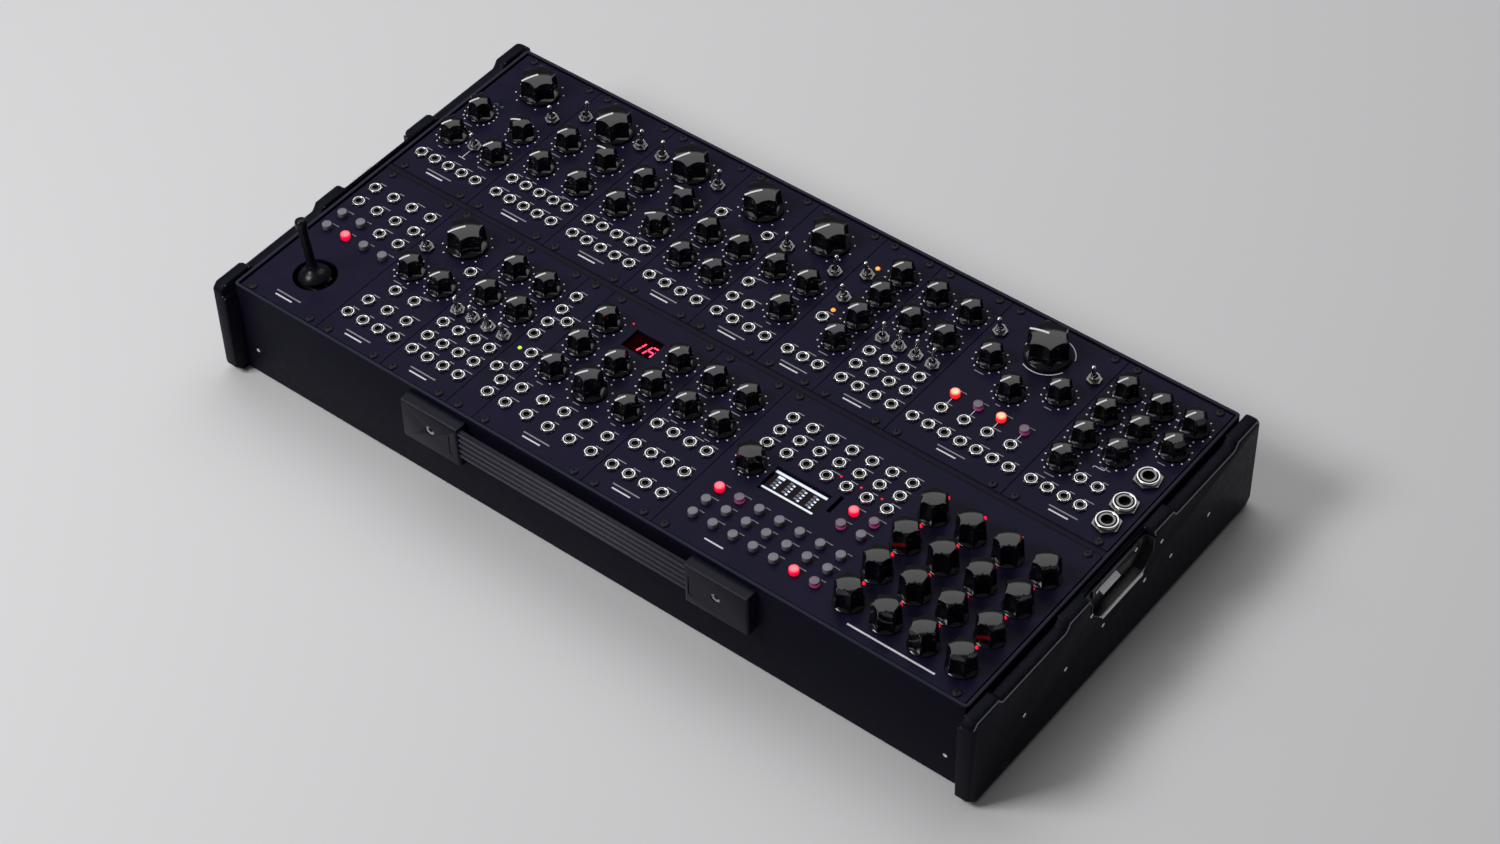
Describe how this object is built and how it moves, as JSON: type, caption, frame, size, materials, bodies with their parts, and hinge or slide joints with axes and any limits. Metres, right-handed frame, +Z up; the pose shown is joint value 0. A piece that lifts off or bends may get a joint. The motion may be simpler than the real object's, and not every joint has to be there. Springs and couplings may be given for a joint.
{
  "type": "modular synthesizer",
  "caption": "Tabletop case with two rows of synthesizer module panels, with knobs, patch sockets, toggle levers, lit buttons, a joystick, a display, a strap handle and moulded end cheeks",
  "frame": {"origin": "centre of the bounding box's bottom face, on the surface that the case stands on", "axes": "+X along the case from left to right, +Y from the front to the back, +Z up"},
  "size_m": [0.558, 0.282, 0.112],
  "materials": {
    "tray": "fine black powder coat",
    "cheek": "coarse-grained moulded plastic",
    "panel": "satin black anodised panel with white print",
    "knob": "black moulded plastic with a slight sheen",
    "steel": "bright nickel plate",
    "rail": "plain extruded aluminium",
    "handle": "black moulded plastic",
    "board": "green solder mask",
    "lit": "translucent cap lit red from below"
  },
  "bodies": {
    "instrument": {"case_tray": "tray", "left_end_cheek": "cheek", "right_end_cheek": "cheek", "left_latch_pan": "steel", "right_latch_pan": "steel", "left_catch_plate": "steel", "right_catch_plate": "steel", "left_handle_cap": "handle", "right_handle_cap": "handle", "handle_strap": "handle", "front_rail": "rail", "middle_rail": "rail", "rear_rail": "rail", "power_board": "board", "wavetable_oscillator_panel": "panel", "oscillator_a_panel": "panel", "oscillator_b_panel": "panel", "filter_panel": "panel", "low_pass_gate_panel": "panel", "envelope_panel": "panel", "rear_quad_amplifier_panel": "panel", "stereo_delay_panel": "panel", "output_panel": "panel", "joystick_panel": "panel", "modulator_panel": "panel", "front_quad_amplifier_panel": "panel", "mixer_panel": "panel", "effect_panel": "panel", "offset_mixer_panel": "panel", "sequencer_panel": "panel"},
    "wavetable_pitch_knob": {"wavetable_pitch_knob": "knob"},
    "oscillator_a_pitch_knob": {"oscillator_a_pitch_knob": "knob"},
    "oscillator_b_pitch_knob": {"oscillator_b_pitch_knob": "knob"},
    "filter_cutoff_knob": {"filter_cutoff_knob": "knob"},
    "filter_resonance_knob": {"filter_resonance_knob": "knob"},
    "gate_level_knob": {"gate_level_knob": "knob"},
    "delay_time_knob": {"delay_time_knob": "knob"},
    "output_level_knob": {"output_level_knob": "knob"},
    "modulator_rate_knob": {"modulator_rate_knob": "knob"},
    "effect_program_knob": {"effect_program_knob": "knob"},
    "offset_knob": {"offset_knob": "knob"},
    "sequencer_encoder": {"sequencer_encoder": "knob"},
    "sequencer_step_knob_1": {"sequencer_step_knob_1": "knob"},
    "sequencer_step_knob_2": {"sequencer_step_knob_2": "knob"},
    "sequencer_step_knob_3": {"sequencer_step_knob_3": "knob"},
    "sequencer_step_knob_4": {"sequencer_step_knob_4": "knob"},
    "delay_lit_button_1": {"delay_lit_button_1": "lit"},
    "delay_lit_button_2": {"delay_lit_button_2": "lit"},
    "delay_lit_button_3": {"delay_lit_button_3": "lit"},
    "delay_lit_button_4": {"delay_lit_button_4": "lit"},
    "joystick_record_button": {"joystick_record_button": "lit"},
    "channel_lit_button": {"channel_lit_button": "lit"},
    "sequencer_lit_button_1": {"sequencer_lit_button_1": "lit"},
    "sequencer_lit_button_2": {"sequencer_lit_button_2": "lit"},
    "gate_mode_lever": {"gate_mode_lever": "steel"},
    "envelope_cycle_lever": {"envelope_cycle_lever": "steel"},
    "rear_amplifier_lever": {"rear_amplifier_lever": "steel"},
    "front_amplifier_lever": {"front_amplifier_lever": "steel"},
    "joystick_gimbal": {"joystick_gimbal": "steel"},
    "joystick_stick": {"joystick_stick": "knob"}
  },
  "joints": [
    {"name": "wavetable_pitch_knob_turn", "type": "hinge", "parent": "instrument", "child": "wavetable_pitch_knob", "pos_m": [-0.23368, 0.10862, 0.07], "axis": [0, 0, 1], "range_deg": [-300, 0]},
    {"name": "oscillator_a_pitch_knob_turn", "type": "hinge", "parent": "instrument", "child": "oscillator_a_pitch_knob", "pos_m": [-0.17272, 0.10862, 0.07], "axis": [0, 0, 1], "range_deg": [-300, 0]},
    {"name": "oscillator_b_pitch_knob_turn", "type": "hinge", "parent": "instrument", "child": "oscillator_b_pitch_knob", "pos_m": [-0.11176, 0.10862, 0.07], "axis": [0, 0, 1], "range_deg": [-300, 0]},
    {"name": "filter_cutoff_knob_turn", "type": "hinge", "parent": "instrument", "child": "filter_cutoff_knob", "pos_m": [-0.05588, 0.10862, 0.07], "axis": [0, 0, 1], "range_deg": [-291, 9]},
    {"name": "filter_resonance_knob_turn", "type": "hinge", "parent": "instrument", "child": "filter_resonance_knob", "pos_m": [-0.06801, 0.07107, 0.07], "axis": [0, 0, 1], "range_deg": [-300, 0]},
    {"name": "gate_level_knob_turn", "type": "hinge", "parent": "instrument", "child": "gate_level_knob", "pos_m": [-0.00508, 0.10862, 0.07], "axis": [0, 0, 1], "range_deg": [-300, 0]},
    {"name": "delay_time_knob_turn", "type": "hinge", "parent": "instrument", "child": "delay_time_knob", "pos_m": [0.1524, 0.10952, 0.07], "axis": [0, 0, 1], "range_deg": [-248, 52]},
    {"name": "output_level_knob_turn", "type": "hinge", "parent": "instrument", "child": "output_level_knob", "pos_m": [0.25164, 0.11083, 0.07], "axis": [0, 0, 1], "range_deg": [-300, 0]},
    {"name": "modulator_rate_knob_turn", "type": "hinge", "parent": "instrument", "child": "modulator_rate_knob", "pos_m": [-0.1778, -0.02318, 0.07], "axis": [0, 0, 1], "range_deg": [-295, 5]},
    {"name": "effect_program_knob_turn", "type": "hinge", "parent": "instrument", "child": "effect_program_knob", "pos_m": [-0.04068, -0.07268, 0.07], "axis": [0, 0, 1], "range_deg": [-291, 9]},
    {"name": "offset_knob_turn", "type": "hinge", "parent": "instrument", "child": "offset_knob", "pos_m": [0.0132, -0.02407, 0.07], "axis": [0, 0, 1], "range_deg": [-300, 0]},
    {"name": "sequencer_encoder_turn", "type": "hinge", "parent": "instrument", "child": "sequencer_encoder", "pos_m": [0.06804, -0.06148, 0.07], "axis": [0, 0, 1], "continuous": true},
    {"name": "sequencer_step_knob_1_turn", "type": "hinge", "parent": "instrument", "child": "sequencer_step_knob_1", "pos_m": [0.1731, -0.10988, 0.07], "axis": [0, 0, 1], "range_deg": [-150, 150]},
    {"name": "sequencer_step_knob_2_turn", "type": "hinge", "parent": "instrument", "child": "sequencer_step_knob_2", "pos_m": [0.1981, -0.10988, 0.07], "axis": [0, 0, 1], "range_deg": [-150, 150]},
    {"name": "sequencer_step_knob_3_turn", "type": "hinge", "parent": "instrument", "child": "sequencer_step_knob_3", "pos_m": [0.223, -0.10988, 0.07], "axis": [0, 0, 1], "range_deg": [-150, 150]},
    {"name": "sequencer_step_knob_4_turn", "type": "hinge", "parent": "instrument", "child": "sequencer_step_knob_4", "pos_m": [0.248, -0.10988, 0.07], "axis": [0, 0, 1], "range_deg": [-150, 150]},
    {"name": "delay_lit_button_1_press", "type": "slide", "parent": "instrument", "child": "delay_lit_button_1", "axis": [0, 0, -1], "range_m": [0, 0.0015], "stiffness_N_per_m": 200, "springref_m": -0.0015},
    {"name": "delay_lit_button_2_press", "type": "slide", "parent": "instrument", "child": "delay_lit_button_2", "axis": [0, 0, -1], "range_m": [0, 0.0015], "stiffness_N_per_m": 200, "springref_m": -0.0015},
    {"name": "delay_lit_button_3_press", "type": "slide", "parent": "instrument", "child": "delay_lit_button_3", "axis": [0, 0, -1], "range_m": [0, 0.0015], "stiffness_N_per_m": 200, "springref_m": -0.0015},
    {"name": "delay_lit_button_4_press", "type": "slide", "parent": "instrument", "child": "delay_lit_button_4", "axis": [0, 0, -1], "range_m": [0, 0.0015], "stiffness_N_per_m": 200, "springref_m": -0.0015},
    {"name": "joystick_record_button_press", "type": "slide", "parent": "instrument", "child": "joystick_record_button", "axis": [0, 0, -1], "range_m": [0, 0.0015], "stiffness_N_per_m": 200, "springref_m": -0.0015},
    {"name": "channel_lit_button_press", "type": "slide", "parent": "instrument", "child": "channel_lit_button", "axis": [0, 0, -1], "range_m": [0, 0.0015], "stiffness_N_per_m": 200, "springref_m": -0.0015},
    {"name": "sequencer_lit_button_1_press", "type": "slide", "parent": "instrument", "child": "sequencer_lit_button_1", "axis": [0, 0, -1], "range_m": [0, 0.0015], "stiffness_N_per_m": 200, "springref_m": -0.0015},
    {"name": "sequencer_lit_button_2_press", "type": "slide", "parent": "instrument", "child": "sequencer_lit_button_2", "axis": [0, 0, -1], "range_m": [0, 0.0015], "stiffness_N_per_m": 200, "springref_m": -0.0015},
    {"name": "gate_mode_lever_flip", "type": "hinge", "parent": "instrument", "child": "gate_mode_lever", "pos_m": [-0.02288, 0.09002, 0.0712], "axis": [1, 0, 0], "range_deg": [-9, 9]},
    {"name": "envelope_cycle_lever_flip", "type": "hinge", "parent": "instrument", "child": "envelope_cycle_lever", "pos_m": [0.02992, 0.09922, 0.0712], "axis": [1, 0, 0], "range_deg": [-18, 0]},
    {"name": "rear_amplifier_lever_flip", "type": "hinge", "parent": "instrument", "child": "rear_amplifier_lever", "pos_m": [0.06846, 0.06202, 0.0712], "axis": [1, 0, 0], "range_deg": [0, 18]},
    {"name": "front_amplifier_lever_flip", "type": "hinge", "parent": "instrument", "child": "front_amplifier_lever", "pos_m": [-0.1449, -0.06918, 0.0712], "axis": [1, 0, 0], "range_deg": [-18, 0]},
    {"name": "joystick_fore_and_aft", "type": "hinge", "parent": "instrument", "child": "joystick_gimbal", "pos_m": [-0.23366, -0.09698, 0.064], "axis": [1, 0, 0], "range_deg": [-20, 20]},
    {"name": "joystick_side_to_side", "type": "hinge", "parent": "joystick_gimbal", "child": "joystick_stick", "pos_m": [-0.23366, -0.09698, 0.064], "axis": [0, 1, 0], "range_deg": [-13, 27]}
  ]
}
